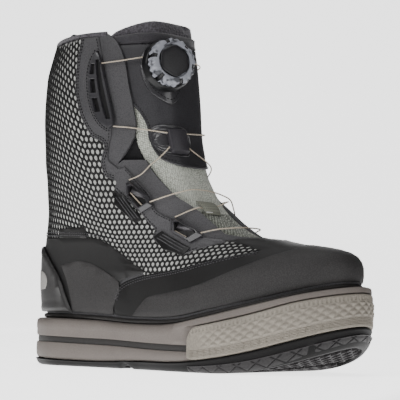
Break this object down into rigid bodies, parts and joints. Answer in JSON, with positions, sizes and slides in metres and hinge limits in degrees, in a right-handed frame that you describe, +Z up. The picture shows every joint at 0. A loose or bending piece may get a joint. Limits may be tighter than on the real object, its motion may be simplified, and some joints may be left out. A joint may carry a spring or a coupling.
{
  "type": "wading boot",
  "caption": "Hollow ankle-high wading boot for the right foot, with padded collar and tongue, rubber rand and heel counter, deep rubber sole, and a dial that tightens a wire lace.",
  "frame": {"origin": "on the floor, under the middle of the heel's tread", "axes": "+X to the toe, +Y to the inner (medial) side of this right boot, +Z up"},
  "size_m": [0.3229, 0.1209, 0.2819],
  "materials": {
    "outsole": "black carbon rubber, moulded lugs",
    "midsole": "taupe foam, fine matte skin",
    "forefoot_wrap": "khaki rubber with a fine moulded pattern",
    "insole": "dark knitted cover on foam",
    "upper": "coated synthetic wall with a net on its sides",
    "rand": "thin matte rubber film",
    "eyestay": "matte synthetic leather",
    "counter": "moulded rubber, slight sheen",
    "webbing": "dark woven webbing",
    "lining": "dark brushed lining over foam",
    "tongue": "grey-green spacer mesh over foam",
    "tongue_panel": "smooth matte synthetic leather",
    "guide": "black moulded nylon",
    "keeper": "narrow woven webbing",
    "dial_knob": "light grey knurled plastic with dark blotches",
    "dial_cap": "black plastic",
    "wire": "tan nylon-coated steel wire"
  },
  "bodies": {
    "root": {"outsole": "outsole", "midsole": "midsole", "forefoot_wrap": "forefoot_wrap", "insole": "insole", "upper": "upper", "vamp_rand": "rand", "quarter_rand_lateral": "rand", "quarter_rand_medial": "rand", "welt": "rand", "eyestay_lateral": "eyestay", "eyestay_medial": "eyestay", "heel_counter": "counter", "backstay": "webbing", "pull_loop": "webbing", "collar_pad": "lining", "tongue": "tongue", "tongue_panel": "tongue_panel", "tongue_guide_flange": "guide", "tongue_guide": "guide", "lace_keeper": "keeper", "lace_guide_top_lateral": "guide", "lace_guide_top_medial": "guide", "lace_guide_mid_lateral": "guide", "lace_guide_mid_medial": "guide", "lace_guide_low_lateral": "guide", "lace_guide_low_medial": "guide", "dial_flange": "guide", "dial_base": "dial_cap", "dial_knob": "dial_knob", "dial_cap": "dial_cap", "lace_dial_to_top_lateral": "wire", "lace_dial_to_top_medial": "wire", "lace_top_to_guide_lateral": "wire", "lace_top_to_guide_medial": "wire", "lace_guide_to_mid_lateral": "wire", "lace_guide_to_mid_medial": "wire", "lace_cross_under": "wire", "lace_cross_over": "wire", "lace_bottom": "wire"}
  },
  "joints": []
}
